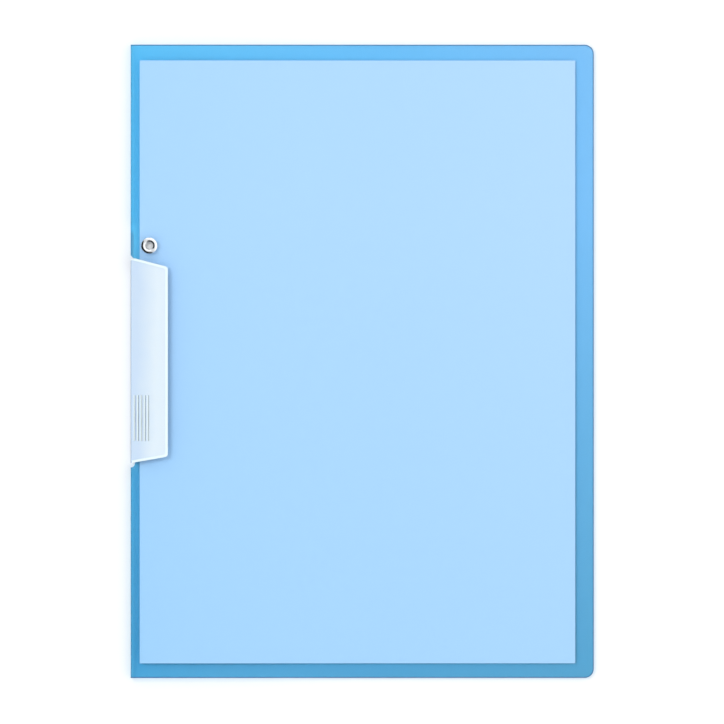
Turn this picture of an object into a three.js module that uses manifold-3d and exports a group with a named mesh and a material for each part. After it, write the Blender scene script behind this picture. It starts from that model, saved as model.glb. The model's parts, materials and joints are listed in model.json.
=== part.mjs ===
// A4 report folder of blue polypropylene film: two leaves joined at a fold, a white swing clip
// on a steel eyelet that grips the sheets through a slot in the fold, and the sheets.
// Millimetres. X runs from the fold to the free edge, Y up the page and Z up from the table.
// The origin is under the middle of the closed folder.
import * as THREE from "three";
import { mergeVertices } from "three/addons/utils/BufferGeometryUtils.js";
import Module from "manifold-3d";

const wasm = await Module();
wasm.setup();

// Film leaves
const folderWidth = 226.7;
const folderLength = 310;
const filmThickness = 0.5;
const freeCornerRadius = 4.4;
const foldRadius = 1.4;

// Sheets of paper
const sheetWidth = 213.3;
const sheetLength = 295.2;
const sheetStackThickness = 0.8;
const sheetFromFold = 4.4;
const sheetFromBottomEdge = 7.1;

// Eyelet, which is also the pivot of the clip
const eyeletFromFold = 9.1;
const eyeletFromTopEdge = 98.4;
const eyeletBoreRadius = 1.75;
const eyeletWall = 0.5;
const eyeletMouthRadius = 2.5;
const eyeletHeadRadius = 4;
const eyeletHeadHeight = 0.6;
const clinchRadius = 3.6;
const clinchHeight = 0.6;

// Swing clip
const clipWidth = 18.2;
const clipSideClearance = 0.05;
const clipTopBelowPivot = 5.7;
const clipLength = 100.7;
const clipTopSlant = 4.8;
const clipBottomSlant = 3.2;
const clipCornerRadius = 1.7;
const clipChamfer = 1.7;
const outerLegThickness = 1.2;
const innerLegThickness = 1;
const innerLegWidth = 15.2;
const innerLegCornerRadius = 3;
const webThickness = 1.5;
const webTopBelowPivot = 12.5;
const webBottomInset = 1.2;
const clipEdgeRadius = 0.7;
const neckThickness = 0.8;
const neckRingRadius = 4.6;
const neckLength = 30;
const rimWidth = 1.25;
const rimHeight = 0.25;

// Finger grip on the outer leg
const ribCount = 5;
const ribPitch = 1.67;
const ribWidth = 0.9;
const ribLength = 22.6;
const ribHeight = 0.25;
const firstRibFromFold = 1.9;
const ribTopBelowPivot = 73.1;

// Slot through the fold, where the clip passes
const slotDepth = 2.1;
const slotClearance = 0.9;
const slotBottomClearance = 2.2;
const reliefAbovePivot = 10.9;

// Clearances between pieces
const layGap = 0.3;
const hingeGap = 0.3;
const pinClearance = 0.3;

// Where the leaf and the sheets come down from the clip to the free edge
const slopeStartFromFold = 27;
const slopeEndFromFold = 123;
const slopeSteps = 10;
const arcSteps = 6;
const roundSegments = 40;
const overrun = 5;

// Places that follow from the sizes
const foldX = -folderWidth / 2;
const freeX = folderWidth / 2;
const topY = folderLength / 2;
const pivotX = foldX + eyeletFromFold;
const pivotY = topY - eyeletFromTopEdge;
const innerLegBottom = filmThickness + layGap;
const innerLegTop = innerLegBottom + innerLegThickness;
const sheetBottomAtClip = innerLegTop + layGap;
const clinchBottom = sheetBottomAtClip + sheetStackThickness + layGap;
const neckBottom = clinchBottom + clinchHeight + layGap;
const neckTop = neckBottom + neckThickness;
const coverUnderside = neckTop + layGap;
const coverTop = coverUnderside + filmThickness;
const outerLegBottom = coverTop + layGap;
const outerLegTop = outerLegBottom + outerLegThickness;
const clipTop = outerLegTop + Math.max(rimHeight, ribHeight);
const sheetBottomAtFreeEdge = filmThickness + layGap;
const sheetDrop = sheetBottomAtClip - sheetBottomAtFreeEdge;
const coverDrop = coverUnderside - (sheetBottomAtFreeEdge + sheetStackThickness + layGap);
// With the cover thrown right over, the clip then lies just clear of the back leaf
const foldHingeHeight = (clipTop + filmThickness + layGap) / 2;
const clipTopY = pivotY - clipTopBelowPivot;
const clipBottomY = clipTopY - clipLength;
const clipLeftX = foldX + clipSideClearance;
const clipRightX = clipLeftX + clipWidth;
const webTopY = pivotY - webTopBelowPivot;
const webBottomY = clipBottomY + webBottomInset;
const slotTopY = clipTopY + slotClearance;
const slotBottomY = clipBottomY - slotBottomClearance;
const reliefTopY = pivotY + reliefAbovePivot;
const pinHoleRadius = eyeletBoreRadius + eyeletWall + pinClearance;

const film = new THREE.MeshStandardMaterial({
  color: 0x6fbdf2,
  roughness: 0.35,
  metalness: 0,
  transparent: true,
  opacity: 0.6,
});
const whitePlastic = new THREE.MeshStandardMaterial({ color: 0xe4f0fb, roughness: 0.3, metalness: 0 });
const steel = new THREE.MeshStandardMaterial({ color: 0xc9ced4, roughness: 0.22, metalness: 1 });
const paper = new THREE.MeshStandardMaterial({ color: 0xf4f8fc, roughness: 0.9, metalness: 0 });

// A closed geometry as a solid that can be joined and cut
function toSolid(geometry) {
  const bare = geometry.clone();
  bare.deleteAttribute("normal");
  bare.deleteAttribute("uv");
  const merged = mergeVertices(bare, 1e-4);
  return new wasm.Manifold(
    new wasm.Mesh({
      numProp: 3,
      vertProperties: merged.attributes.position.array,
      triVerts: new Uint32Array(merged.index.array),
    }),
  );
}

// A finished solid as a named mesh
function toMesh(name, solid, material) {
  const made = solid.getMesh();
  const geometry = new THREE.BufferGeometry();
  geometry.setAttribute("position", new THREE.BufferAttribute(made.vertProperties, 3));
  geometry.setIndex(new THREE.BufferAttribute(made.triVerts, 1));
  geometry.computeVertexNormals();
  const mesh = new THREE.Mesh(geometry, material);
  mesh.name = name;
  return mesh;
}

// A plate of the given plan outline between two heights
function plate(outline, bottom, top) {
  const geometry = new THREE.ExtrudeGeometry(outline, {
    depth: top - bottom,
    bevelEnabled: false,
    curveSegments: arcSteps,
  });
  geometry.translate(0, 0, bottom);
  return toSolid(geometry);
}

// A cross-section in X and Z, run along Y
function runAlongPage(section, fromY, toY) {
  const geometry = new THREE.ExtrudeGeometry(section, {
    depth: toY - fromY,
    bevelEnabled: false,
    curveSegments: arcSteps,
  });
  geometry.rotateX(Math.PI / 2);
  geometry.translate(0, toY, 0);
  return toSolid(geometry);
}

function rectangle(left, right, bottom, top) {
  const shape = new THREE.Shape();
  shape.moveTo(left, bottom);
  shape.lineTo(right, bottom);
  shape.lineTo(right, top);
  shape.lineTo(left, top);
  shape.closePath();
  return shape;
}

function disc(x, y, radius) {
  const shape = new THREE.Shape();
  for (let i = 0; i < roundSegments; i += 1) {
    const angle = (i / roundSegments) * 2 * Math.PI;
    const place = [x + radius * Math.cos(angle), y + radius * Math.sin(angle)];
    if (i === 0) shape.moveTo(...place);
    else shape.lineTo(...place);
  }
  shape.closePath();
  return shape;
}

// The share of the way down, from 0 beside the clip to 1 towards the free edge
function slopeAt(x) {
  const span = slopeEndFromFold - slopeStartFromFold;
  const t = THREE.MathUtils.clamp((x - foldX - slopeStartFromFold) / span, 0, 1);
  return t * t * (3 - 2 * t);
}

// The X places at which a sloping piece is stepped, from left to right
function slopePlaces(left, right) {
  const places = [left];
  for (let i = 0; i <= slopeSteps; i += 1) {
    const share = i / slopeSteps;
    places.push(foldX + THREE.MathUtils.lerp(slopeStartFromFold, slopeEndFromFold, share));
  }
  places.push(right);
  return places;
}

// Section of a leaf: flat film that turns through a quarter round at the fold into a short wall.
// The outer face is at outerAt(x), inward is +1 where the wall rises and -1 where it falls.
function leafSection(outerAt, inward, wallEnd) {
  const start = foldX + foldRadius;
  const centreZ = outerAt(start) + inward * foldRadius;
  const outer = slopePlaces(start, freeX).map((x) => [x, outerAt(x)]);
  const inner = outer.map(([x, z]) => [x, z + inward * filmThickness]);
  const bend = (radius) =>
    Array.from({ length: arcSteps + 1 }, (_, i) => {
      const angle = ((i / arcSteps) * Math.PI) / 2;
      return [start - radius * Math.sin(angle), centreZ - inward * radius * Math.cos(angle)];
    });
  const points = [
    ...outer.reverse(),
    ...bend(foldRadius).slice(1),
    [foldX, wallEnd],
    [foldX + filmThickness, wallEnd],
    ...bend(foldRadius - filmThickness).reverse(),
    ...inner.slice(1),
  ];
  return new THREE.Shape(points.map(([x, z]) => new THREE.Vector2(x, z)));
}

// Plan of a leaf: square at the fold, rounded at the two free corners
function leafPlan() {
  const plan = new THREE.Shape();
  plan.moveTo(foldX - overrun, -topY);
  plan.lineTo(freeX - freeCornerRadius, -topY);
  plan.absarc(freeX - freeCornerRadius, freeCornerRadius - topY, freeCornerRadius, -Math.PI / 2, 0, false);
  plan.absarc(freeX - freeCornerRadius, topY - freeCornerRadius, freeCornerRadius, 0, Math.PI / 2, false);
  plan.lineTo(foldX - overrun, topY);
  plan.closePath();
  return plate(plan, -overrun, clipTop + overrun);
}

// Slot cut in the fold edge, with a rounded lower end and an upper end cut at 45 degrees
function slotCut() {
  const cut = new THREE.Shape();
  const floorX = foldX + slotDepth;
  cut.moveTo(foldX - overrun, slotBottomY);
  cut.lineTo(foldX, slotBottomY);
  cut.absarc(foldX, slotBottomY + slotDepth, slotDepth, -Math.PI / 2, 0, false);
  cut.lineTo(floorX, slotTopY - slotDepth);
  cut.lineTo(foldX, slotTopY);
  cut.lineTo(foldX - overrun, slotTopY);
  cut.closePath();
  return plate(cut, -overrun, clipTop + overrun);
}

// A leaf with its slot. Over the relief above the slot, where the clip's tongue swings out, the
// fold is cut away between the two heights and the film stays flat, from skinBottom up.
function slottedLeaf(section, skinBottom, reliefBottom, reliefTop) {
  const strip = rectangle(foldX, foldX + slotDepth, slotTopY, reliefTopY);
  const relief = rectangle(foldX - overrun, foldX + slotDepth, slotTopY - slotDepth, reliefTopY);
  return runAlongPage(section, -topY, topY)
    .intersect(leafPlan())
    .subtract(plate(relief, reliefBottom, reliefTop))
    .subtract(slotCut())
    .add(plate(strip, skinBottom, skinBottom + filmThickness));
}

function makeBackCover() {
  const section = leafSection(() => 0, 1, foldHingeHeight - hingeGap / 2);
  const solid = slottedLeaf(section, 0, filmThickness, clipTop);
  return toMesh("back_cover", solid, film);
}

function makeFrontCover() {
  const outerAt = (x) => coverTop - coverDrop * slopeAt(x);
  const section = leafSection(outerAt, -1, foldHingeHeight + hingeGap / 2);
  const solid = slottedLeaf(section, coverUnderside, 0, coverUnderside)
    .subtract(plate(disc(pivotX, pivotY, pinHoleRadius), 0, clipTop));
  return toMesh("front_cover", solid, film);
}

function makePaperSheets() {
  const left = foldX + sheetFromFold;
  const bottom = sheetFromBottomEdge - topY;
  const lower = slopePlaces(left, left + sheetWidth).map((x) => [x, sheetBottomAtClip - sheetDrop * slopeAt(x)]);
  const upper = lower.map(([x, z]) => [x, z + sheetStackThickness]).reverse();
  const section = new THREE.Shape([...lower, ...upper].map(([x, z]) => new THREE.Vector2(x, z)));
  return toMesh("paper_sheets", runAlongPage(section, bottom, bottom + sheetLength), paper);
}

// Closed section of the eyelet: a clinched foot, the tube and a domed head with a flared mouth
function makeEyelet() {
  const tubeRadius = eyeletBoreRadius + eyeletWall;
  const headTop = coverTop + eyeletHeadHeight;
  const clinchTop = clinchBottom + clinchHeight;
  const edge = eyeletHeadHeight * 0.7;
  const flareDepth = (eyeletMouthRadius - eyeletBoreRadius) * 2;
  const section = new THREE.Path();
  section.moveTo(eyeletBoreRadius, clinchBottom);
  section.lineTo(clinchRadius - clinchHeight / 2, clinchBottom);
  section.quadraticCurveTo(clinchRadius, clinchBottom, clinchRadius, clinchBottom + clinchHeight / 2);
  section.quadraticCurveTo(clinchRadius, clinchTop, clinchRadius - clinchHeight / 2, clinchTop);
  section.lineTo(tubeRadius, clinchTop);
  section.lineTo(tubeRadius, coverTop);
  section.lineTo(eyeletHeadRadius, coverTop);
  section.quadraticCurveTo(eyeletHeadRadius, headTop, eyeletHeadRadius - edge, headTop);
  section.lineTo(eyeletMouthRadius + edge / 2, headTop);
  section.quadraticCurveTo(eyeletMouthRadius, headTop, eyeletMouthRadius, headTop - edge / 2);
  section.quadraticCurveTo(eyeletBoreRadius, headTop - flareDepth / 2, eyeletBoreRadius, headTop - flareDepth);
  section.lineTo(eyeletBoreRadius, clinchBottom);
  const geometry = new THREE.LatheGeometry(section.getPoints(4), roundSegments);
  geometry.rotateX(Math.PI / 2);
  geometry.translate(pivotX, pivotY, 0);
  return toMesh("eyelet", toSolid(geometry), steel);
}

// Plan of the outer leg, or of the field inside its rim when inset by the rim's width.
// The field runs out over the fold side, where the leg has no rim.
function outerLegPlan(inset) {
  const left = inset > 0 ? clipLeftX - overrun : clipLeftX;
  const right = clipRightX - inset;
  const radius = clipCornerRadius;
  const topAt = (x) => clipTopY - (clipTopSlant * (x - clipLeftX)) / clipWidth - inset;
  const bottomAt = (x) => clipBottomY + (clipBottomSlant * (x - clipLeftX)) / clipWidth + inset;
  const plan = new THREE.Shape();
  plan.moveTo(left, bottomAt(left));
  plan.lineTo(right - radius, bottomAt(right - radius));
  plan.quadraticCurveTo(right, bottomAt(right), right, bottomAt(right) + radius);
  plan.lineTo(right, topAt(right) - radius);
  plan.quadraticCurveTo(right, topAt(right), right - radius, topAt(right - radius));
  if (inset > 0) {
    plan.lineTo(left, topAt(left));
  } else {
    plan.lineTo(left + clipChamfer, topAt(left + clipChamfer));
    plan.lineTo(left, topAt(left) - clipChamfer);
  }
  plan.closePath();
  return plan;
}

// One rib of the finger grip, with round ends
function ribPlan(x) {
  const radius = ribWidth / 2;
  const top = pivotY - ribTopBelowPivot;
  const plan = new THREE.Shape();
  plan.absarc(x, top - radius, radius, 0, Math.PI, false);
  plan.absarc(x, top - ribLength + radius, radius, Math.PI, 2 * Math.PI, false);
  plan.closePath();
  return plan;
}

// Plan of the tongue that runs from the web, under the front leaf, to its ring on the eyelet.
// It widens to the web where the outer leg covers it.
function neckPlan() {
  const plan = new THREE.Shape();
  plan.moveTo(clipLeftX, webTopY - neckLength / 2);
  plan.lineTo(pivotX, webTopY - neckLength / 2);
  plan.lineTo(pivotX + neckRingRadius, webTopY);
  plan.lineTo(pivotX + neckRingRadius, pivotY);
  plan.absarc(pivotX, pivotY, neckRingRadius, 0, Math.PI, false);
  plan.lineTo(pivotX - neckRingRadius, clipTopY - 2 * clipChamfer);
  plan.lineTo(clipLeftX, webTopY);
  plan.closePath();
  return plan;
}

function innerLegPlan() {
  const right = clipLeftX + innerLegWidth;
  const radius = innerLegCornerRadius;
  const plan = new THREE.Shape();
  plan.moveTo(clipLeftX, webBottomY);
  plan.lineTo(right - radius, webBottomY);
  plan.absarc(right - radius, webBottomY + radius, radius, -Math.PI / 2, 0, false);
  plan.absarc(right - radius, webTopY - radius, radius, 0, Math.PI / 2, false);
  plan.lineTo(clipLeftX, webTopY);
  plan.closePath();
  return plan;
}

// Everything within the clip's two rounded edges along the fold
function clipEdgeEnvelope() {
  const section = new THREE.Shape();
  const left = clipLeftX;
  const radius = clipEdgeRadius;
  section.moveTo(left + radius, innerLegBottom);
  section.lineTo(clipRightX + overrun, innerLegBottom);
  section.lineTo(clipRightX + overrun, clipTop + overrun);
  section.lineTo(left + radius, clipTop + overrun);
  section.lineTo(left + radius, outerLegTop);
  section.absarc(left + radius, outerLegTop - radius, radius, Math.PI / 2, Math.PI, false);
  section.absarc(left + radius, innerLegBottom + radius, radius, Math.PI, 1.5 * Math.PI, false);
  section.closePath();
  return runAlongPage(section, clipBottomY - overrun, reliefTopY + overrun);
}

function makeSwingClip() {
  const rimBlank = plate(outerLegPlan(0), outerLegTop - rimHeight, outerLegTop + rimHeight);
  const rim = rimBlank.subtract(plate(outerLegPlan(rimWidth), outerLegTop, clipTop + overrun));
  const web = rectangle(clipLeftX, clipLeftX + webThickness, webBottomY, webTopY);
  const pinHole = plate(disc(pivotX, pivotY, pinHoleRadius), 0, clipTop);
  let solid = plate(outerLegPlan(0), outerLegBottom, outerLegTop)
    .add(rim)
    .add(plate(web, innerLegBottom, outerLegTop))
    .add(plate(innerLegPlan(), innerLegBottom, innerLegTop))
    .add(plate(neckPlan(), neckBottom, neckTop))
    .subtract(pinHole)
    .intersect(clipEdgeEnvelope());
  for (let i = 0; i < ribCount; i += 1) {
    const x = foldX + firstRibFromFold + i * ribPitch;
    solid = solid.add(plate(ribPlan(x), outerLegTop - ribHeight, outerLegTop + ribHeight));
  }
  return toMesh("swing_clip", solid, whitePlastic);
}

const folder = new THREE.Group();
folder.add(makeBackCover());
folder.add(makeFrontCover());
folder.add(makePaperSheets());
folder.add(makeEyelet());
folder.add(makeSwingClip());

export default folder;
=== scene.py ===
import bpy
import bmesh
import json
import math
import random
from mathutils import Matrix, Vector


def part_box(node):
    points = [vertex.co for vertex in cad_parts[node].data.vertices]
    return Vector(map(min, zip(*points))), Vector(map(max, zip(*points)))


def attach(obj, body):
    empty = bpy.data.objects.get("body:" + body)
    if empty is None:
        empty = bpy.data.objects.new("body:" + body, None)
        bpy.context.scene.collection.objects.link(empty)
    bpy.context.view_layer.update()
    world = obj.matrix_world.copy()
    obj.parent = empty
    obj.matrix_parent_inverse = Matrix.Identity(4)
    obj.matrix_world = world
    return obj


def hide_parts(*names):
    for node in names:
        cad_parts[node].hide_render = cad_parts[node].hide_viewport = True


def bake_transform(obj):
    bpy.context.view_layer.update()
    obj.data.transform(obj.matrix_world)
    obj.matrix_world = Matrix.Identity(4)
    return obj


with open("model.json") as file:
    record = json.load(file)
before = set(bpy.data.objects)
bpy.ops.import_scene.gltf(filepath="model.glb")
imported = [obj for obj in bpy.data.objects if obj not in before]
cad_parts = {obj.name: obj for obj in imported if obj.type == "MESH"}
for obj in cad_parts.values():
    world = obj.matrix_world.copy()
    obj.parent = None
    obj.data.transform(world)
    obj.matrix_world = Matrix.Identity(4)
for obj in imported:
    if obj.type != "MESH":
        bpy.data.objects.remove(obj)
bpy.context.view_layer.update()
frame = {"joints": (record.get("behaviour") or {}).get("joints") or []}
mm = 0.001

# Places on the frame that the pieces are built from, all in metres
frontLow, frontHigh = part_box("front_cover")
backLow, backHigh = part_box("back_cover")
clipLow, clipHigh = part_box("swing_clip")
sheetLow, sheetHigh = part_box("paper_sheets")
eyeletLow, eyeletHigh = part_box("eyelet")
joints = {joint["name"]: joint for joint in frame["joints"]}
foldHinge = Vector(joints["cover_open"]["pos_m"])
pivot = Vector(joints["clip_swing"]["pos_m"])
foldX, freeX, topY = frontLow.x, frontHigh.x, frontHigh.y
frontWallEnd = 2 * foldHinge.z - backHigh.z  # the hinge is midway between the two leaves' fold walls
print("frame loaded")

# What every piece is meshed with
meshing = {
    "mergeDistance": 0.005 * mm,
    "tinyFace": 0.002 * mm,
    "onPlane": 0.01 * mm,
    "hair": 0.001 * mm,
    "overrun": 5 * mm,
    "arcSteps": 8,
    "holeSteps": 48,
    "bevelAngle": 50,
    "smoothAngle": 30,
}
noiseLow, noiseHigh = 0.3, 0.7  # where most of a noise texture's values lie


def hexToLinear(code):
    code = code.lstrip("#")
    values = [int(code[i:i + 2], 16) / 255 for i in (0, 2, 4)]
    return [v / 12.92 if v <= 0.04045 else ((v + 0.055) / 1.055) ** 2.4 for v in values] + [1.0]


def addNode(tree, kind, settings=None, links=None):
    # a key that is a number or a socket's name sets that socket, and any other key the node itself
    node = tree.nodes.new(kind)
    for key, value in (settings or {}).items():
        if isinstance(key, int) or key in node.inputs:
            node.inputs[key].default_value = value
        else:
            setattr(node, key, value)
    for key, source in (links or {}).items():
        tree.links.new(source, node.inputs[key])
    return node


def newMaterial(name):
    material = bpy.data.materials.new(name)
    material.use_nodes = True
    material.node_tree.nodes.clear()
    return material, material.node_tree


def clearSelection():
    if bpy.context.mode != "OBJECT":
        bpy.ops.object.mode_set(mode="OBJECT")
    bpy.ops.object.select_all(action="DESELECT")


def pickOnly(obj):
    clearSelection()
    obj.select_set(True)
    bpy.context.view_layer.objects.active = obj


def startEdit(obj):
    pickOnly(obj)
    bpy.ops.object.mode_set(mode="EDIT")
    bpy.ops.mesh.select_all(action="DESELECT")


def endEdit():
    bpy.ops.object.mode_set(mode="OBJECT")


def selectWhere(obj, mode, test):  # picks faces, edges or vertices by their place
    bpy.ops.mesh.select_mode(type=mode)
    mesh = bmesh.from_edit_mesh(obj.data)
    items = {"VERT": mesh.verts, "EDGE": mesh.edges, "FACE": mesh.faces}[mode]
    for item in items:
        item.select_set(False)
    for item in items:
        if test(item):
            item.select_set(True)
    mesh.select_flush_mode()
    bmesh.update_edit_mesh(obj.data)


def applyPlace(obj):
    pickOnly(obj)
    bpy.ops.object.transform_apply(location=True, rotation=True, scale=True)


def finishWith(obj, kind, settings):
    pickOnly(obj)
    modifier = obj.modifiers.new(kind.lower(), kind)
    for key, value in settings.items():
        setattr(modifier, key, value)
    bpy.ops.object.modifier_apply(modifier=modifier.name)


def cutOrJoin(obj, other, how):
    finishWith(obj, "BOOLEAN", {"object": other, "operation": how, "solver": "EXACT"})
    bpy.data.objects.remove(other)


def smooth(obj, degrees):
    pickOnly(obj)
    bpy.ops.object.shade_smooth_by_angle(angle=math.radians(degrees))


def facesOut(obj):
    startEdit(obj)
    bpy.ops.mesh.select_all(action="SELECT")
    bpy.ops.mesh.remove_doubles(threshold=meshing["mergeDistance"])
    bpy.ops.mesh.dissolve_degenerate(threshold=meshing["tinyFace"])
    bpy.ops.mesh.normals_make_consistent(inside=False)
    endEdit()


def extrudeFace(name, points, move):  # a filled outline, drawn out by a move
    clearSelection()
    bpy.ops.mesh.primitive_circle_add(vertices=len(points), radius=mm, fill_type="NGON")
    obj = bpy.context.object
    obj.name = name
    for vertex, point in zip(obj.data.vertices, points):
        vertex.co = point
    startEdit(obj)
    bpy.ops.mesh.select_all(action="SELECT")
    bpy.ops.mesh.extrude_region_move(TRANSFORM_OT_translate={"value": move})
    endEdit()
    applyPlace(obj)
    facesOut(obj)
    return obj


def flatPlate(name, outline, bottom, top):  # a plan outline, drawn up
    return extrudeFace(name, [(x, y, bottom) for x, y in outline], (0, 0, top - bottom))


def runAlongFold(name, section, fromY, toY):  # an outline in X and Z, drawn along Y
    return extrudeFace(name, [(x, fromY, z) for x, z in section], (0, toY - fromY, 0))


def arc(centreX, centreY, radius, fromAngle, toAngle, steps):
    turn = toAngle - fromAngle
    angles = [math.radians(fromAngle + turn * i / steps) for i in range(steps + 1)]
    return [(centreX + radius * math.cos(a), centreY + radius * math.sin(a)) for a in angles]


# Film leaves
filmLook = {
    "thickness": 0.5 * mm,
    "foldRadius": 1.4 * mm,
    "cornerRadius": 4.4 * mm,
    "cornerSteps": 10,
    "slotDepth": 2.1 * mm,
    "slotTop": backHigh.y - 103.2 * mm,
    "slotBottom": backHigh.y - 207.0 * mm,
    "reliefTop": pivot.y + 10.9 * mm,
    "pinHoleRadius": 2.55 * mm,
    "slopeStart": 27 * mm,
    "slopeEnd": 123 * mm,
    "slopeSteps": 24,
    "foldSteps": 10,
    "stripSteps": 8,
    "edgeBevel": 0.09 * mm,
}


def slopeAt(x):  # how far the leaf and the sheets have come down at x, from 0 to 1
    span = filmLook["slopeEnd"] - filmLook["slopeStart"]
    t = min(max((x - foldX - filmLook["slopeStart"]) / span, 0), 1)
    return t * t * (3 - 2 * t)


def cutForSlope():  # edges across the piece in edit mode, so that it can follow the slope
    for i in range(filmLook["slopeSteps"] + 1):
        share = i / filmLook["slopeSteps"]
        x = foldX + filmLook["slopeStart"] + share * (filmLook["slopeEnd"] - filmLook["slopeStart"])
        bpy.ops.mesh.select_all(action="SELECT")
        bpy.ops.mesh.bisect(plane_co=(x, 0, 0), plane_no=(1, 0, 0))


def rectangle(left, right, low, high):
    return [(left, low), (right, low), (right, high), (left, high)]


def cutSlot(leaf, skin, reliefLow, reliefHigh):
    # the clip's slot, and above it a relief where the fold is cut away and the film stays flat
    floorX = foldX + filmLook["slotDepth"]
    outside = foldX - meshing["overrun"]
    depth = filmLook["slotDepth"]
    slotLow, slotHigh, reliefTop = filmLook["slotBottom"], filmLook["slotTop"], filmLook["reliefTop"]
    relief = rectangle(outside, floorX, slotHigh - depth, reliefTop)
    cutOrJoin(leaf, flatPlate("cutter", relief, reliefLow, reliefHigh), "DIFFERENCE")
    slot = [(outside, slotLow)] + arc(foldX, slotLow + depth, depth, -90, 0, meshing["arcSteps"])
    slot += [(floorX, slotHigh - depth), (foldX, slotHigh), (outside, slotHigh)]
    cutOrJoin(leaf, flatPlate("cutter", slot, backLow.z - depth, clipHigh.z + depth), "DIFFERENCE")
    strip = rectangle(foldX, floorX, slotHigh, reliefTop)
    cutOrJoin(leaf, flatPlate("strip", strip, skin, skin + filmLook["thickness"]), "UNION")


def makeLeaf(name, outerLevel, drop, inward, wallEnd):
    # a flat blank with its free corners rounded, its fold spun up and its wall drawn out
    start = foldX + filmLook["foldRadius"]
    clearSelection()
    bpy.ops.mesh.primitive_plane_add(size=1, location=((start + freeX) / 2, 0, 0))
    leaf = bpy.context.object
    leaf.name = name
    leaf.scale = (freeX - start, 2 * topY, 1)
    applyPlace(leaf)
    startEdit(leaf)
    selectWhere(leaf, "VERT", lambda v: v.co.x > 0)
    bpy.ops.mesh.bevel(
        offset=filmLook["cornerRadius"], segments=filmLook["cornerSteps"], affect="VERTICES")
    cutForSlope()
    selectWhere(leaf, "EDGE", lambda e: all(abs(v.co.x - start) < meshing["onPlane"] for v in e.verts))
    bpy.ops.mesh.spin(
        steps=filmLook["foldSteps"],
        angle=inward * math.pi / 2,
        center=(start, 0, inward * filmLook["foldRadius"]),
        axis=(0, -1, 0),
    )
    wall = inward * (wallEnd - outerLevel) - filmLook["foldRadius"]
    bpy.ops.mesh.extrude_edges_move(TRANSFORM_OT_translate={"value": (0, 0, inward * wall)})
    endEdit()
    for vertex in leaf.data.vertices:  # a leaf with a drop lies down from the clip to the free edge
        vertex.co.z += outerLevel - drop * slopeAt(vertex.co.x)
    facesOut(leaf)
    return leaf


def thicken(leaf, inward):
    # the flat part's outer face looks down on the back leaf and up on the front leaf
    middle = max(leaf.data.polygons, key=lambda p: p.area)
    if middle.normal.z * inward > 0:
        startEdit(leaf)
        bpy.ops.mesh.select_all(action="SELECT")
        bpy.ops.mesh.flip_normals()
        endEdit()
    finishWith(leaf, "SOLIDIFY", {"thickness": filmLook["thickness"], "offset": -1})


def finishLeaf(leaf):
    finishWith(leaf, "BEVEL", {
        "width": filmLook["edgeBevel"],
        "segments": 1,
        "limit_method": "ANGLE",
        "angle_limit": math.radians(meshing["bevelAngle"]),
    })
    smooth(leaf, meshing["smoothAngle"])


def makeBackCover():
    leaf = makeLeaf("back_leaf", backLow.z, 0, 1, backHigh.z)
    thicken(leaf, 1)
    cutSlot(leaf, backLow.z, backLow.z + filmLook["thickness"], clipHigh.z)
    finishLeaf(leaf)
    return leaf


def makeFrontCover():
    drop = frontHigh.z - filmLook["thickness"] - frontLow.z
    leaf = makeLeaf("front_leaf", frontHigh.z, drop, -1, frontWallEnd)
    thicken(leaf, -1)
    underside = frontHigh.z - filmLook["thickness"]
    cutSlot(leaf, underside, backLow.z, underside)
    hole = arc(pivot.x, pivot.y, filmLook["pinHoleRadius"], 0, 360, meshing["holeSteps"])[:-1]
    cutOrJoin(leaf, flatPlate("cutter", hole, backLow.z, clipHigh.z), "DIFFERENCE")
    finishLeaf(leaf)
    return leaf


def makeFoldStrip(name, fromY, toY):
    # the part of the fold between the two walls, cut into bands up its height
    low = backHigh.z
    high = frontWallEnd
    clearSelection()
    bpy.ops.mesh.primitive_cube_add(size=1, location=(
        foldX + filmLook["thickness"] / 2, (fromY + toY) / 2, (low + high) / 2))
    strip = bpy.context.object
    strip.name = name
    strip.scale = (filmLook["thickness"], toY - fromY, high - low)
    applyPlace(strip)
    startEdit(strip)
    for i in range(1, filmLook["stripSteps"]):
        height = low + (high - low) * i / filmLook["stripSteps"]
        bpy.ops.mesh.select_all(action="SELECT")
        bpy.ops.mesh.bisect(plane_co=(0, 0, height), plane_no=(0, 0, 1), threshold=meshing["hair"])
    endEdit()
    smooth(strip, meshing["smoothAngle"])
    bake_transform(strip)
    return strip


# Film: translucent polypropylene, tinted in the mass and embossed with a fine sand grain.
# Light crosses four of its surfaces on the way down and up, so each tint is the share of one surface.
filmFinish = {
    # left, bottom and bottomLeft darken the tint towards the fold and the bottom: painted shade
    "front": {"tint": "#e9f5ff", "left": "#fcfeff", "bottom": "#fcfefe", "bottomLeft": "#fcfefe"},
    "back": {"tint": "#e8f9ff", "left": "#ebffff", "bottom": "#e9f6f5", "bottomLeft": "#f8f7f8"},
    "bottomReach": 0.5,
    "haze": 0.005,
    "hazeColour": "#7cc4f6",
    "ior": 1.49,
    "roughness": 0.28,
    "grain": 0.9 * mm,
    "grainHeight": 0.03 * mm,
    "grainStrength": 0.35,
    "mottle": 2.2 * mm,
    "mottleDepth": 0.01,
    # painted shade along the die-cut outline
    "edgeWidth": 0.55 * mm,
    "edgeShade": "#b4d3e4",
    # painted shade in a narrow band along the fold
    "foldShade": "#eff7fa",
    "foldShadeWidth": 0.9 * mm,
    # painted shade at the fold edge of the strip above the slot, leaving the film beside it lighter as a
    # painted highlight
    "stripShade": "#fefafa",
    "stripShadeWidth": 1.7 * mm,
    "stripShadeCore": 0.7,
    "stripShadeFull": 5 * mm,
    "stripShadeEnd": 8 * mm,
    "stripShadeStart": 3 * mm,
}


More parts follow.
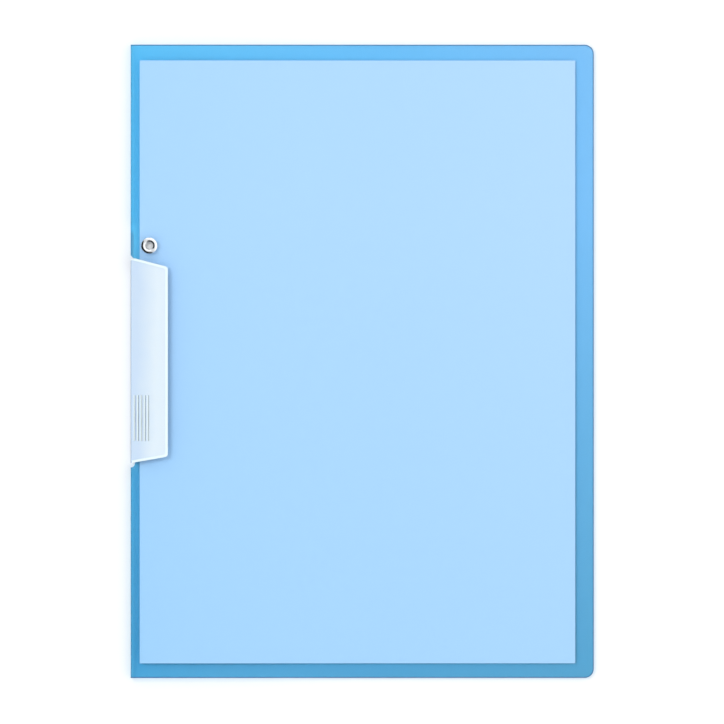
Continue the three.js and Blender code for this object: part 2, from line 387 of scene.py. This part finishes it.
def filmMaterial(side):
    # embossed polypropylene film: clear blue, with a soft sheen, and with painted shade on its cut
    # edges, along the fold and towards the bottom
    material, tree = newMaterial(side + "EmbossedPolypropylene")
    colours = {place: hexToLinear(code) for place, code in filmFinish[side].items()}
    place = addNode(tree, "ShaderNodeTexCoord").outputs["Object"]
    xyz = addNode(tree, "ShaderNodeSeparateXYZ", links={0: place})
    # painted shade: the tint grows darker towards the fold and towards the bottom
    across = addNode(tree, "ShaderNodeMapRange", {1: foldX, 2: freeX}, {0: xyz.outputs["X"]})
    along = addNode(tree, "ShaderNodeMapRange", {
        1: -topY, 2: filmFinish["bottomReach"] * topY}, {0: xyz.outputs["Y"]})
    leftTint = [a * b for a, b in zip(colours["left"], colours["tint"])]
    fromLeft = addNode(tree, "ShaderNodeMix", {
        "data_type": "RGBA", 6: leftTint, 7: colours["tint"]}, {0: across.outputs[0]})
    bottom = addNode(tree, "ShaderNodeMix", {
        "data_type": "RGBA", 6: colours["bottomLeft"], 7: colours["bottom"]}, {0: across.outputs[0]})
    fromBottom = addNode(tree, "ShaderNodeMix", {
        "data_type": "RGBA", 7: (1, 1, 1, 1)}, {0: along.outputs[0], 6: bottom.outputs[2]})
    tint = addNode(tree, "ShaderNodeMix", {"data_type": "RGBA", "blend_type": "MULTIPLY", 0: 1.0}, {
        6: fromLeft.outputs[2], 7: fromBottom.outputs[2]})
    # painted shade in a narrow band along the fold
    nearFold = addNode(tree, "ShaderNodeMapRange", {
        1: foldX + filmFinish["foldShadeWidth"], 2: foldX + filmFinish["foldShadeWidth"] / 2}, {
        0: xyz.outputs["X"]})
    folded = addNode(tree, "ShaderNodeMix", {
        "data_type": "RGBA", "blend_type": "MULTIPLY", 7: hexToLinear(filmFinish["foldShade"])}, {
        0: nearFold.outputs[0], 6: tint.outputs[2]})
    # painted shade at the fold edge of the flat strip above the slot, which leaves the film just beside
    # it lighter, as a painted highlight
    alongStrip = addNode(tree, "ShaderNodeMapRange", {
        1: pivot.y + filmFinish["stripShadeEnd"], 2: pivot.y + filmFinish["stripShadeFull"]}, {
        0: xyz.outputs["Y"]})
    aboveSlot = addNode(tree, "ShaderNodeMath", {
        "operation": "GREATER_THAN", 1: filmLook["slotTop"] - filmFinish["stripShadeStart"]}, {
        0: xyz.outputs["Y"]})
    stripShadeWidth = filmFinish["stripShadeWidth"]
    atEdge = addNode(tree, "ShaderNodeMapRange", {
        1: foldX + stripShadeWidth, 2: foldX + filmFinish["stripShadeCore"] * stripShadeWidth}, {
        0: xyz.outputs["X"]})
    inStrip = addNode(tree, "ShaderNodeMath", {"operation": "MULTIPLY"}, {
        0: alongStrip.outputs[0], 1: aboveSlot.outputs[0]})
    stripShadeMask = addNode(tree, "ShaderNodeMath", {"operation": "MULTIPLY"}, {
        0: inStrip.outputs[0], 1: atEdge.outputs[0]})
    stripShaded = addNode(tree, "ShaderNodeMix", {
        "data_type": "RGBA", "blend_type": "MULTIPLY", 7: hexToLinear(filmFinish["stripShade"])}, {
        0: stripShadeMask.outputs[0], 6: folded.outputs[2]})
    # cloudy mottle of the sheet extrusion, drawn larger than the real one so that it shows
    cloud = addNode(tree, "ShaderNodeTexNoise", {
        "Scale": 1 / filmFinish["mottle"], "Detail": 4.0, "Roughness": 0.6}, {"Vector": place})
    shade = addNode(tree, "ShaderNodeMapRange", {
        1: noiseLow, 2: noiseHigh, 3: 1 - filmFinish["mottleDepth"], 4: 1.0}, {0: cloud.outputs["Fac"]})
    mottled = addNode(tree, "ShaderNodeVectorMath", {"operation": "SCALE"}, {
        0: stripShaded.outputs[2], "Scale": shade.outputs[0]})
    # painted shade: the die-cut outline is darker
    radius = filmLook["cornerRadius"]
    absolute = addNode(tree, "ShaderNodeMath", {"operation": "ABSOLUTE"}, {0: xyz.outputs["Y"]})
    overY = addNode(tree, "ShaderNodeMath", {
        "operation": "SUBTRACT", 1: topY - radius}, {0: absolute.outputs[0]})
    overX = addNode(tree, "ShaderNodeMath", {
        "operation": "SUBTRACT", 1: freeX - radius}, {0: xyz.outputs["X"]})
    outX = addNode(tree, "ShaderNodeMath", {"operation": "MAXIMUM", 1: 0.0}, {0: overX.outputs[0]})
    outY = addNode(tree, "ShaderNodeMath", {"operation": "MAXIMUM", 1: 0.0}, {0: overY.outputs[0]})
    corner = addNode(tree, "ShaderNodeCombineXYZ", {}, {0: outX.outputs[0], 1: outY.outputs[0]})
    reach = addNode(tree, "ShaderNodeVectorMath", {"operation": "LENGTH"}, {0: corner.outputs[0]})
    rim = addNode(tree, "ShaderNodeMapRange", {
        1: radius - filmFinish["edgeWidth"], 2: radius, 3: 0.0, 4: 1.0}, {0: reach.outputs["Value"]})
    edged = addNode(tree, "ShaderNodeMix", {
        "data_type": "RGBA", 7: hexToLinear(filmFinish["edgeShade"])}, {
        0: rim.outputs[0], 6: mottled.outputs[0]})
    clear = addNode(tree, "ShaderNodeBsdfTransparent", {}, {"Color": edged.outputs[2]})
    grain = addNode(tree, "ShaderNodeTexNoise", {
        "Scale": 1 / filmFinish["grain"], "Detail": 2.0}, {"Vector": place})
    bump = addNode(tree, "ShaderNodeBump", {
        "Strength": filmFinish["grainStrength"], "Distance": filmFinish["grainHeight"]}, {
        "Height": grain.outputs["Fac"]})
    haze = addNode(tree, "ShaderNodeBsdfDiffuse", {"Color": hexToLinear(filmFinish["hazeColour"])}, {
        "Normal": bump.outputs[0]})
    gloss = addNode(tree, "ShaderNodeBsdfGlossy", {"Roughness": filmFinish["roughness"]}, {
        "Normal": bump.outputs[0]})
    # gloss on the outer faces only: inside the film the light just passes on
    fresnel = addNode(tree, "ShaderNodeFresnel", {"IOR": filmFinish["ior"]}, {"Normal": bump.outputs[0]})
    inside = addNode(tree, "ShaderNodeNewGeometry").outputs["Backfacing"]
    sheen = addNode(tree, "ShaderNodeMix", {"data_type": "FLOAT", 3: 0.0}, {
        0: inside, 2: fresnel.outputs[0]})
    body = addNode(tree, "ShaderNodeMixShader", {0: filmFinish["haze"]}, {
        1: clear.outputs[0], 2: haze.outputs[0]})
    surface = addNode(tree, "ShaderNodeMixShader", {}, {
        0: sheen.outputs[0], 1: body.outputs[0], 2: gloss.outputs[0]})
    addNode(tree, "ShaderNodeOutputMaterial", {}, {"Surface": surface.outputs[0]})
    return material


# Sheets of office paper, a little out of line with each other
paperLook = {
    "sheets": 8,
    "thickness": 0.085 * mm,
    "pitch": 0.1 * mm,
    "shift": 0.25 * mm,
    "seed": 11,
    "dull": "#f4f6f8",
    "bright": "#ffffff",
    "roughness": 0.85,
    "ior": 1.5,
    "fibre": 0.7 * mm,
    "fibreHeight": 0.02 * mm,
    "fibreStrength": 0.2,
}


def makePaperSheets():
    random.seed(paperLook["seed"])
    pitch = paperLook["pitch"]
    atClip = sheetHigh.z - paperLook["sheets"] * pitch
    drop = atClip - sheetLow.z
    sheets = []
    for i in range(paperLook["sheets"]):
        clearSelection()
        shiftX, shiftY = (random.uniform(-1, 1) * paperLook["shift"] for _ in range(2))
        margin = 2 * paperLook["shift"]
        if i == paperLook["sheets"] - 1:  # the top sheet has the stack's full outline
            shiftX, shiftY, margin = 0, 0, 0
        bpy.ops.mesh.primitive_plane_add(size=1, location=(
            (sheetLow.x + sheetHigh.x) / 2 + shiftX, (sheetLow.y + sheetHigh.y) / 2 + shiftY, 0))
        sheet = bpy.context.object
        sheet.name = f"sheet_{i + 1}"
        sheet.scale = (sheetHigh.x - sheetLow.x - margin, sheetHigh.y - sheetLow.y - margin, 1)
        applyPlace(sheet)
        startEdit(sheet)
        cutForSlope()
        endEdit()
        for vertex in sheet.data.vertices:
            vertex.co.z = atClip + i * pitch - drop * slopeAt(vertex.co.x)
        finishWith(sheet, "SOLIDIFY", {"thickness": paperLook["thickness"], "offset": 1})
        sheets.append(sheet)
    clearSelection()
    for sheet in sheets:
        sheet.select_set(True)
    bpy.context.view_layer.objects.active = sheets[0]
    bpy.ops.object.join()
    stack = bpy.context.object
    stack.name = "sheet_stack"
    applyPlace(stack)
    smooth(stack, meshing["smoothAngle"])
    return stack


def paperMaterial():
    # uncoated wood-free office paper: dull, with a faint fibre cloud
    material, tree = newMaterial("uncoatedPaper")
    place = addNode(tree, "ShaderNodeTexCoord").outputs["Object"]
    fibre = addNode(tree, "ShaderNodeTexNoise", {
        "Scale": 1 / paperLook["fibre"], "Detail": 5.0, "Roughness": 0.7}, {"Vector": place})
    colour = addNode(tree, "ShaderNodeMix", {
        "data_type": "RGBA",
        6: hexToLinear(paperLook["dull"]),
        7: hexToLinear(paperLook["bright"]),
    }, {0: fibre.outputs["Fac"]})
    bump = addNode(tree, "ShaderNodeBump", {
        "Strength": paperLook["fibreStrength"], "Distance": paperLook["fibreHeight"]}, {
        "Height": fibre.outputs["Fac"]})
    shader = addNode(tree, "ShaderNodeBsdfPrincipled", {
        "Roughness": paperLook["roughness"], "IOR": paperLook["ior"]}, {
        "Base Color": colour.outputs[2], "Normal": bump.outputs[0]})
    addNode(tree, "ShaderNodeOutputMaterial", {}, {"Surface": shader.outputs[0]})
    return material


# Eyelet of nickel-plated steel: rolled head, flared mouth, tube and clinched foot
eyeletLook = {
    "bore": 1.75 * mm,
    "tube": 2.25 * mm,
    "crown": 2.8 * mm,
    "head": 4.0 * mm,
    "foot": 3.6 * mm,
    "footRoll": 0.3 * mm,
    "boreBreak": 0.1 * mm,
    "headUndercut": 0.05 * mm,
    "flareBelowLeaf": 0.2 * mm,
    "steps": 96,
    "smoothAngle": 40,
}


def makeEyelet():
    headTop = eyeletHigh.z
    leafTop = frontHigh.z
    bottom = eyeletLow.z
    bore, tube = eyeletLook["bore"], eyeletLook["tube"]
    crown = eyeletLook["crown"]
    footRoll, boreBreak = eyeletLook["footRoll"], eyeletLook["boreBreak"]
    arcSteps = meshing["arcSteps"]
    flare = headTop - leafTop + eyeletLook["flareBelowLeaf"]
    profile = [(bore, bottom + boreBreak), (bore + boreBreak, bottom)]
    profile += arc(eyeletLook["foot"] - footRoll, bottom + footRoll, footRoll, -90, 90, arcSteps)
    profile += [(tube, bottom + 2 * footRoll), (tube, leafTop)]
    profile.append((eyeletLook["head"] - eyeletLook["headUndercut"], leafTop))
    # the head's outer side rises to the crown on a quarter of an ellipse
    for i in range(1, arcSteps + 1):
        turn = math.radians(90 * i / arcSteps)
        profile.append((
            crown + (eyeletLook["head"] - crown) * math.cos(turn),
            leafTop + (headTop - leafTop) * math.sin(turn),
        ))
    # and the flare falls from the crown into the bore on another
    for i in range(1, arcSteps + 1):
        turn = math.radians(90 * i / arcSteps)
        profile.append((
            crown - (crown - bore) * math.sin(turn),
            headTop - flare + flare * math.cos(turn),
        ))
    clearSelection()
    bpy.ops.mesh.primitive_circle_add(vertices=len(profile), radius=mm, fill_type="NOTHING")
    ring = bpy.context.object
    ring.name = "eyelet_ring"
    for vertex, (radius, z) in zip(ring.data.vertices, profile):
        vertex.co = (pivot.x + radius, pivot.y, z)
    startEdit(ring)
    bpy.ops.mesh.select_all(action="SELECT")
    bpy.ops.mesh.spin(
        steps=eyeletLook["steps"],
        angle=2 * math.pi,
        center=(pivot.x, pivot.y, 0),
        axis=(0, 0, 1),
    )
    endEdit()
    applyPlace(ring)
    facesOut(ring)
    smooth(ring, eyeletLook["smoothAngle"])
    return ring


steelFinish = {
    "colour": "#e3e6e9",
    "smoothest": 0.1,
    "roughest": 0.24,
    "wear": 0.5 * mm,
    "wearHeight": 0.01 * mm,
    "wearStrength": 0.15,
}


def steelMaterial():
    # nickel-plated and tumbled steel: bright, with a cloud of fine rub marks
    material, tree = newMaterial("nickelPlatedSteel")
    place = addNode(tree, "ShaderNodeTexCoord").outputs["Object"]
    wear = addNode(tree, "ShaderNodeTexNoise", {
        "Scale": 1 / steelFinish["wear"], "Detail": 3.0}, {"Vector": place})
    rough = addNode(tree, "ShaderNodeMapRange", {
        1: noiseLow, 2: noiseHigh, 3: steelFinish["smoothest"], 4: steelFinish["roughest"]}, {
        0: wear.outputs["Fac"]})
    bump = addNode(tree, "ShaderNodeBump", {
        "Strength": steelFinish["wearStrength"], "Distance": steelFinish["wearHeight"]}, {
        "Height": wear.outputs["Fac"]})
    shader = addNode(tree, "ShaderNodeBsdfPrincipled", {
        "Base Color": hexToLinear(steelFinish["colour"]), "Metallic": 1.0}, {
        "Roughness": rough.outputs[0], "Normal": bump.outputs[0]})
    addNode(tree, "ShaderNodeOutputMaterial", {}, {"Surface": shader.outputs[0]})
    return material


# Swing clip, one injection moulding
clipLook = {
    "width": 18.2 * mm,
    "topBelowPivot": 5.7 * mm,
    "length": 100.7 * mm,
    "topSlant": 4.8 * mm,
    "bottomSlant": 3.2 * mm,
    "cornerRadius": 1.7 * mm,
    "cornerFollowsInset": 0.5,
    "topCornerEnd": 75,
    "bottomCornerStart": -80,
    "chamfer": 1.7 * mm,
    "outerLeg": 1.2 * mm,
    "innerLeg": 1.0 * mm,
    "innerLegWidth": 15.2 * mm,
    "innerCorner": 3 * mm,
    "web": 1.5 * mm,
    "webTopBelowPivot": 12.5 * mm,
    "webBottomInset": 1.2 * mm,
    "webUnderFace": 0.2 * mm,
    "neck": 0.8 * mm,
    "neckRing": 4.6 * mm,
    "neckLength": 30 * mm,
    "neckSteps": 24,
    "pinHole": 2.55 * mm,
    "rimWidth": 1.25 * mm,
    "rimHeight": 0.25 * mm,
    "ribs": 5,
    "ribPitch": 1.67 * mm,
    "ribWidth": 0.9 * mm,
    "ribLength": 22.6 * mm,
    "ribHeight": 0.25 * mm,
    "firstRib": 1.9 * mm,
    "ribTopBelowPivot": 73.1 * mm,
    "ribSegments": 16,
    "ribRings": 12,
    "layGap": 0.3 * mm,
    "foldEdge": 0.7 * mm,
    "edge": 0.12 * mm,
    "edgeSegments": 2,
    "smoothAngle": 35,
}
clipFace = clipHigh.z - clipLook["rimHeight"]  # the outer leg's own face, below its rim and ribs


def outerLegOutline(inset):  # with an inset it is the field inside the rim, open to the fold side
    left = clipLow.x - (meshing["overrun"] if inset else 0)
    right = clipLow.x + clipLook["width"] - inset
    radius = clipLook["cornerRadius"] - clipLook["cornerFollowsInset"] * inset
    steps = meshing["arcSteps"]

    def topAt(x):
        below = clipLook["topSlant"] * (x - clipLow.x) / clipLook["width"]
        return pivot.y - clipLook["topBelowPivot"] - below - inset

    def bottomAt(x):
        above = clipLook["bottomSlant"] * (x - clipLow.x) / clipLook["width"]
        return pivot.y - clipLook["topBelowPivot"] - clipLook["length"] + above + inset

    outline = [(left, bottomAt(left))]
    start, end = clipLook["bottomCornerStart"], clipLook["topCornerEnd"]
    outline += arc(right - radius, bottomAt(right - radius) + radius, radius, start, 0, steps)
    outline += arc(right - radius, topAt(right - radius) - radius, radius, 0, end, steps)
    if inset:
        return outline + [(left, topAt(left))]
    chamfer = clipLook["chamfer"]
    return outline + [(left + chamfer, topAt(left + chamfer)), (left, topAt(left) - chamfer)]


def makeRib(index):  # a ball drawn out along the fold, half of it above the face
    radius = clipLook["ribWidth"] / 2
    x = foldX + clipLook["firstRib"] + index * clipLook["ribPitch"]
    top = pivot.y - clipLook["ribTopBelowPivot"]
    middle = top - clipLook["ribLength"] / 2
    straight = clipLook["ribLength"] - 2 * radius
    clearSelection()
    bpy.ops.mesh.primitive_uv_sphere_add(
        segments=clipLook["ribSegments"],
        ring_count=clipLook["ribRings"],
        radius=radius,
        location=(x, middle, clipFace),
    )
    rib = bpy.context.object
    rib.scale = (1, 1, clipLook["ribHeight"] / radius)
    applyPlace(rib)
    for vertex in rib.data.vertices:
        if vertex.co.y > middle + meshing["hair"]:
            vertex.co.y += straight / 2
        elif vertex.co.y < middle - meshing["hair"]:
            vertex.co.y -= straight / 2
    return rib


def makeSwingClip():
    left = clipLow.x
    webTop = pivot.y - clipLook["webTopBelowPivot"]
    legTop = pivot.y - clipLook["topBelowPivot"]
    webBottom = legTop - clipLook["length"] + clipLook["webBottomInset"]
    clip = flatPlate("clip_moulding", outerLegOutline(0), clipFace - clipLook["outerLeg"], clipHigh.z)
    above = clipHigh.z + meshing["overrun"]
    field = flatPlate("field", outerLegOutline(clipLook["rimWidth"]), clipFace, above)
    cutOrJoin(clip, field, "DIFFERENCE")
    web = rectangle(left, left + clipLook["web"], webBottom, webTop)
    cutOrJoin(clip, flatPlate("web", web, clipLow.z, clipFace - clipLook["webUnderFace"]), "UNION")
    right = left + clipLook["innerLegWidth"]
    corner = clipLook["innerCorner"]
    steps = meshing["arcSteps"]
    inner = [(left, webBottom)]
    inner += arc(right - corner, webBottom + corner, corner, -90, 0, steps)
    inner += arc(right - corner, webTop - corner, corner, 0, 90, steps) + [(left, webTop)]
    cutOrJoin(clip, flatPlate("inner", inner, clipLow.z, clipLow.z + clipLook["innerLeg"]), "UNION")
    # the tongue under the front leaf, with the ring round the eyelet
    neckTop = frontHigh.z - filmLook["thickness"] - clipLook["layGap"]
    ring = clipLook["neckRing"]
    neckStart = webTop - clipLook["neckLength"] / 2
    neck = [(left, neckStart), (pivot.x, neckStart), (pivot.x + ring, webTop)]
    neck += arc(pivot.x, pivot.y, ring, 0, 180, clipLook["neckSteps"])
    neck += [(pivot.x - ring, legTop - 2 * clipLook["chamfer"]), (left, webTop)]
    cutOrJoin(clip, flatPlate("neck", neck, neckTop - clipLook["neck"], neckTop), "UNION")
    pin = arc(pivot.x, pivot.y, clipLook["pinHole"], 0, 360, meshing["holeSteps"])[:-1]
    cutOrJoin(clip, flatPlate("pin", pin, 0, clipHigh.z), "DIFFERENCE")
    # the moulding's two edges along the fold are rounded
    radius = clipLook["foldEdge"]
    beyond = clipHigh.x + meshing["overrun"]
    section = [(beyond, clipLow.z), (beyond, above), (left + radius, above)]
    section += arc(left + radius, clipFace - radius, radius, 90, 180, steps)
    section += arc(left + radius, clipLow.z + radius, radius, 180, 270, steps)
    fromY, toY = clipLow.y - meshing["overrun"], pivot.y + 2 * ring
    cutOrJoin(clip, runAlongFold("envelope", section, fromY, toY), "INTERSECT")
    finishWith(clip, "BEVEL", {
        "width": clipLook["edge"],
        "segments": clipLook["edgeSegments"],
        "limit_method": "ANGLE",
        "angle_limit": math.radians(meshing["bevelAngle"]),
    })
    for index in range(clipLook["ribs"]):
        cutOrJoin(clip, makeRib(index), "UNION")
    facesOut(clip)
    smooth(clip, clipLook["smoothAngle"])
    return clip


clipFinish = {
    # cool darkens the face along the fold: painted shade for less light coming through the moulding
    "cool": "#cde1f7",
    "warm": "#e1eef9",
    # painted highlight: the raised rim and the rib tops are whiter than the face
    "rim": "#ecfdff",
    # painted shade on the ribs' right flanks
    "ribShade": "#56677c",
    # painted shade on the outer leg's walls, darkest at the rounded fold edge
    "foldSide": "#8393ab",
    "freeSide": "#c9e3f4",
    "coolTo": 3 * mm,
    "warmFrom": 12 * mm,
    "flow": 16.67 * mm,
    "wander": 1.5 * mm,
    "rimStart": 0.05 * mm,
    "rimFull": 0.2 * mm,
    "flankStart": 0.05,
    "flankFull": 0.4,
    "ribbedWidth": 9.5 * mm,
    "wallStart": 0.05 * mm,
    "wallFull": 0.25 * mm,
    "roughness": 0.3,
    "ior": 1.49,
    "depth": 0.8 * mm,
    "depthWeight": 0.35,
    "depthByColour": (0.9, 1.0, 1.1),
    "skin": 0.6 * mm,
    "skinHeight": 0.02 * mm,
    "skinStrength": 0.08,
    "see": 0.1,
    "seeTongue": 0.985,
    "tongueFromWeb": 0.5 * mm,
    "tongueUnderLeg": 0.2 * mm,
}


def clipMaterial():
    # milky polypropylene moulding: light goes in a little way, so thin places take a blue cast
    material, tree = newMaterial("milkyPolypropylene")
    place = addNode(tree, "ShaderNodeTexCoord").outputs["Object"]
    xyz = addNode(tree, "ShaderNodeSeparateXYZ", links={0: place})
    # painted shade: the face is cooler and darker along the fold, where the web is behind it, for less
    # light coming up through the milky moulding there, and the border wanders a little
    flow = addNode(tree, "ShaderNodeTexNoise", {
        "Scale": 1 / clipFinish["flow"], "Detail": 2.0}, {"Vector": place})
    wander = addNode(tree, "ShaderNodeMapRange", {
        1: noiseLow, 2: noiseHigh, 3: -clipFinish["wander"], 4: clipFinish["wander"]}, {
        0: flow.outputs["Fac"]})
    at = addNode(tree, "ShaderNodeMath", {"operation": "ADD"}, {
        0: xyz.outputs["X"], 1: wander.outputs[0]})
    tone = addNode(tree, "ShaderNodeMapRange", {
        1: clipLow.x + clipFinish["coolTo"], 2: clipLow.x + clipFinish["warmFrom"]}, {0: at.outputs[0]})
    face = addNode(tree, "ShaderNodeMix", {
        "data_type": "RGBA",
        6: hexToLinear(clipFinish["cool"]),
        7: hexToLinear(clipFinish["warm"]),
    }, {0: tone.outputs[0]})
    # painted highlight: the raised rim, and the tops of the ribs with it, are whiter than the face
    raised = addNode(tree, "ShaderNodeMapRange", {
        1: clipFace + clipFinish["rimStart"], 2: clipFace + clipFinish["rimFull"]}, {
        0: xyz.outputs["Z"]})
    colour = addNode(tree, "ShaderNodeMix", {
        "data_type": "RGBA", 7: hexToLinear(clipFinish["rim"])}, {
        0: raised.outputs[0], 6: face.outputs[2]})
    # painted shade: the ribs' right flanks and the walls of the outer leg, darkest at the rounded edge
    # along the fold, are darker than the face
    turned = addNode(tree, "ShaderNodeSeparateXYZ", links={
        0: addNode(tree, "ShaderNodeTexCoord").outputs["Normal"]})
    flank = addNode(tree, "ShaderNodeMapRange", {
        1: clipFinish["flankStart"], 2: clipFinish["flankFull"]}, {0: turned.outputs["X"]})
    ribSpan = addNode(tree, "ShaderNodeMath", {
        "operation": "LESS_THAN", 1: clipLow.x + clipFinish["ribbedWidth"]}, {0: xyz.outputs["X"]})
    onFace = addNode(tree, "ShaderNodeMath", {
        "operation": "GREATER_THAN", 1: clipFace + meshing["onPlane"]}, {0: xyz.outputs["Z"]})
    onRib = addNode(tree, "ShaderNodeMath", {"operation": "MULTIPLY"}, {
        0: ribSpan.outputs[0], 1: onFace.outputs[0]})
    shaded = addNode(tree, "ShaderNodeMath", {"operation": "MULTIPLY"}, {
        0: flank.outputs[0], 1: onRib.outputs[0]})
    ribbed = addNode(tree, "ShaderNodeMix", {
        "data_type": "RGBA", 7: hexToLinear(clipFinish["ribShade"])}, {
        0: shaded.outputs[0], 6: colour.outputs[2]})
    wall = addNode(tree, "ShaderNodeMapRange", {
        1: clipFace - clipFinish["wallStart"], 2: clipFace - clipFinish["wallFull"]}, {
        0: xyz.outputs["Z"]})
    aboveLegBottom = addNode(tree, "ShaderNodeMath", {
        "operation": "GREATER_THAN", 1: clipFace - clipLook["outerLeg"] - clipFinish["wallStart"]}, {
        0: xyz.outputs["Z"]})
    onWall = addNode(tree, "ShaderNodeMath", {"operation": "MULTIPLY"}, {
        0: wall.outputs[0], 1: aboveLegBottom.outputs[0]})
    side = addNode(tree, "ShaderNodeMix", {
        "data_type": "RGBA",
        6: hexToLinear(clipFinish["foldSide"]),
        7: hexToLinear(clipFinish["freeSide"]),
    }, {0: tone.outputs[0]})
    walled = addNode(tree, "ShaderNodeMix", {"data_type": "RGBA"}, {
        0: onWall.outputs[0], 6: ribbed.outputs[2], 7: side.outputs[2]})
    fine = addNode(tree, "ShaderNodeTexNoise", {
        "Scale": 1 / clipFinish["skin"], "Detail": 2.0}, {"Vector": place})
    bump = addNode(tree, "ShaderNodeBump", {
        "Strength": clipFinish["skinStrength"], "Distance": clipFinish["skinHeight"]}, {
        "Height": fine.outputs["Fac"]})
    shader = addNode(tree, "ShaderNodeBsdfPrincipled", {
        "Roughness": clipFinish["roughness"],
        "IOR": clipFinish["ior"],
        "Subsurface Weight": clipFinish["depthWeight"],
        "Subsurface Radius": clipFinish["depthByColour"],
        "Subsurface Scale": clipFinish["depth"],
    }, {"Base Color": walled.outputs[2], "Normal": bump.outputs[0]})
    # the moulding lets some light straight through, and its thin tongue most of it
    tongueStart = pivot.y - clipLook["webTopBelowPivot"] + clipFinish["tongueFromWeb"]
    tongueCeiling = clipFace - clipLook["outerLeg"] - clipFinish["tongueUnderLeg"]
    pastWeb = addNode(tree, "ShaderNodeMath", {
        "operation": "GREATER_THAN", 1: tongueStart}, {0: xyz.outputs["Y"]})
    underLeg = addNode(tree, "ShaderNodeMath", {
        "operation": "LESS_THAN", 1: tongueCeiling}, {0: xyz.outputs["Z"]})
    onTongue = addNode(tree, "ShaderNodeMath", {"operation": "MULTIPLY"}, {
        0: pastWeb.outputs[0], 1: underLeg.outputs[0]})
    clearness = addNode(tree, "ShaderNodeMapRange", {3: clipFinish["see"], 4: clipFinish["seeTongue"]}, {
        0: onTongue.outputs[0]})
    clear = addNode(tree, "ShaderNodeBsdfTransparent")
    surface = addNode(tree, "ShaderNodeMixShader", {}, {
        0: clearness.outputs[0], 1: shader.outputs[0], 2: clear.outputs[0]})
    addNode(tree, "ShaderNodeOutputMaterial", {}, {"Surface": surface.outputs[0]})
    return material


def dress(obj, material, body, nodeName):
    obj.data.materials.clear()
    obj.data.materials.append(material)
    if body:
        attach(obj, body)
    if nodeName:
        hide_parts(nodeName)


print("film leaves")
frontFilm = filmMaterial("front")
backFilm = filmMaterial("back")
dress(makeFrontCover(), frontFilm, "front", "front_cover")
dress(makeBackCover(), backFilm, "back", "back_cover")
lowerStrip = makeFoldStrip("fold_strip_lower", -topY, filmLook["slotBottom"])
upperStrip = makeFoldStrip("fold_strip_upper", filmLook["reliefTop"], topY)
dress(lowerStrip, backFilm, None, None)
dress(upperStrip, backFilm, None, None)

print("paper sheets")
dress(makePaperSheets(), paperMaterial(), "front", "paper_sheets")

print("eyelet")
dress(makeEyelet(), steelMaterial(), "front", "eyelet")

print("swing clip")
dress(makeSwingClip(), clipMaterial(), "clip", "swing_clip")

# Studio: white table, soft key from the upper left, even fill, and two cards for the steel
studio = {
    "table": "#f6f7f8",
    "tableSize": 6,
    "tableGap": 0.05 * mm,
    "world": 0.92,
    "keyPower": 86,
    "keySize": 1.6,
    "keyPlace": (-2.2, 1.3, 5.0),
    "cardSize": (3.0, 2.0),
    "cardDistance": 0.3,
    "darkBearing": 218,
    "brightBearing": 38,
    "brightCard": 1.5,
    "darkCard": "#0a0a0d",
    "photoPixels": 724,
    "folderPixels": 633,
    "folderCentre": (362.2, 361.3),
    "lens": 600,
    "sensor": 36,
    "farthest": 20,
    "clearSurfaces": 48,
}


def addCard(name, bearing, shaderKind, shaderSettings):
    # a card beside the eyelet, seen by nothing but glossy faces
    angle = math.radians(bearing)
    wide, tall = studio["cardSize"]
    reach = studio["cardDistance"]
    clearSelection()
    bpy.ops.mesh.primitive_plane_add(
        size=1,
        location=(pivot.x + reach * math.cos(angle), pivot.y + reach * math.sin(angle), tall / 2),
        rotation=(math.pi / 2, 0, angle + math.pi / 2),
    )
    card = bpy.context.object
    card.name = name
    card.scale = (wide, tall, 1)
    applyPlace(card)
    paint, tree = newMaterial(name + "_face")
    shader = addNode(tree, shaderKind, shaderSettings)
    addNode(tree, "ShaderNodeOutputMaterial", {}, {"Surface": shader.outputs[0]})
    card.data.materials.append(paint)
    card.visible_camera = False
    card.visible_diffuse = False
    card.visible_transmission = False
    card.visible_shadow = False


def makeStudio():
    clearSelection()
    bpy.ops.mesh.primitive_plane_add(size=studio["tableSize"], location=(0, 0, -studio["tableGap"]))
    table = bpy.context.object
    table.name = "table"
    applyPlace(table)
    material, tree = newMaterial("whiteTable")
    shader = addNode(tree, "ShaderNodeBsdfDiffuse", {"Color": hexToLinear(studio["table"])})
    addNode(tree, "ShaderNodeOutputMaterial", {}, {"Surface": shader.outputs[0]})
    table.data.materials.append(material)

    world = bpy.data.worlds.new("softWhite")
    bpy.context.scene.world = world
    world.use_nodes = True
    background = world.node_tree.nodes["Background"]
    background.inputs["Color"].default_value = (1, 1, 1, 1)
    background.inputs["Strength"].default_value = studio["world"]

    clearSelection()
    bpy.ops.object.light_add(type="AREA", location=studio["keyPlace"])
    key = bpy.context.object
    key.name = "keyLight"
    key.data.energy = studio["keyPower"]
    key.data.size = studio["keySize"]
    key.visible_glossy = False
    key.rotation_euler = (-Vector(studio["keyPlace"])).to_track_quat("-Z", "Y").to_euler()

    addCard("dark_card", studio["darkBearing"], "ShaderNodeBsdfDiffuse", {
        "Color": hexToLinear(studio["darkCard"])})
    addCard("bright_card", studio["brightBearing"], "ShaderNodeEmission", {
        "Strength": studio["brightCard"]})

    # the camera looks straight down from far off, with the folder where the photo has it
    clearSelection()
    pixel = 2 * topY / studio["folderPixels"]
    viewWidth = pixel * studio["photoPixels"]
    distance = viewWidth * studio["lens"] / studio["sensor"]
    offCentre = [c - studio["photoPixels"] / 2 for c in studio["folderCentre"]]
    place = (-offCentre[0] * pixel, offCentre[1] * pixel, frontLow.z + distance)
    bpy.ops.object.camera_add(location=place, rotation=(0, 0, 0))
    camera = bpy.context.object
    camera.data.lens = studio["lens"]
    camera.data.sensor_width = studio["sensor"]
    camera.data.clip_end = studio["farthest"]
    bpy.context.scene.camera = camera
    bpy.context.scene.view_settings.view_transform = "Standard"
    bpy.context.scene.cycles.transparent_max_bounces = studio["clearSurfaces"]


print("studio")
makeStudio()
